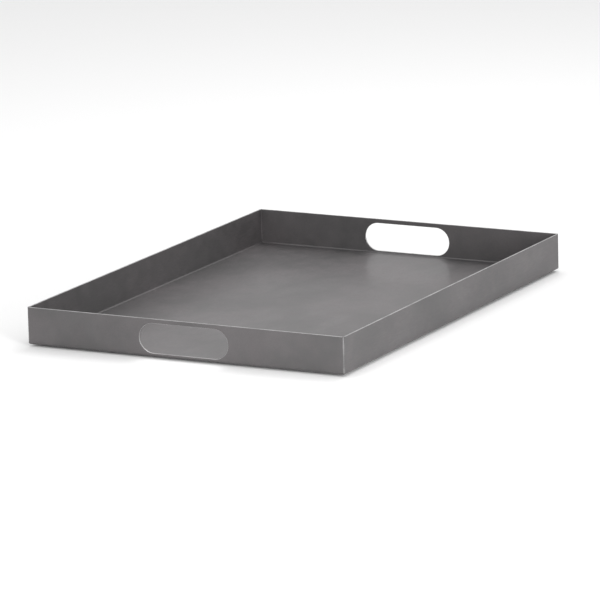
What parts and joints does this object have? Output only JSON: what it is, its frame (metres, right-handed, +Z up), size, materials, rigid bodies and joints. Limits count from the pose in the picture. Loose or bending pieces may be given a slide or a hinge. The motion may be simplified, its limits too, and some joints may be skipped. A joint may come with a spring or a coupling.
{
  "type": "serving tray",
  "caption": "Rectangular serving tray folded from steel sheet, with low upright walls, a stadium hand hole in each end wall, welded corners and rubber feet.",
  "frame": {"origin": "centre of the tray's outline, on the surface it stands on (the underside of the rubber feet)", "axes": "+Z up; +X along the long side, from the near hand hole to the far one; +Y to the left seen from the near end"},
  "size_m": [0.5, 0.35, 0.04],
  "materials": {
    "tray_sheet": "satin",
    "weld_seam": "satin",
    "foot_rubber": "matte",
    "adhesive_film": "matte"
  },
  "bodies": {
    "root": {"tray_pan": "tray_sheet", "corner_weld_near_right": "weld_seam", "corner_weld_near_left": "weld_seam", "corner_weld_far_right": "weld_seam", "corner_weld_far_left": "weld_seam", "foot_near_right": "foot_rubber", "foot_near_left": "foot_rubber", "foot_far_right": "foot_rubber", "foot_far_left": "foot_rubber", "foot_adhesive_near_right": "adhesive_film", "foot_adhesive_near_left": "adhesive_film", "foot_adhesive_far_right": "adhesive_film", "foot_adhesive_far_left": "adhesive_film"}
  },
  "joints": []
}
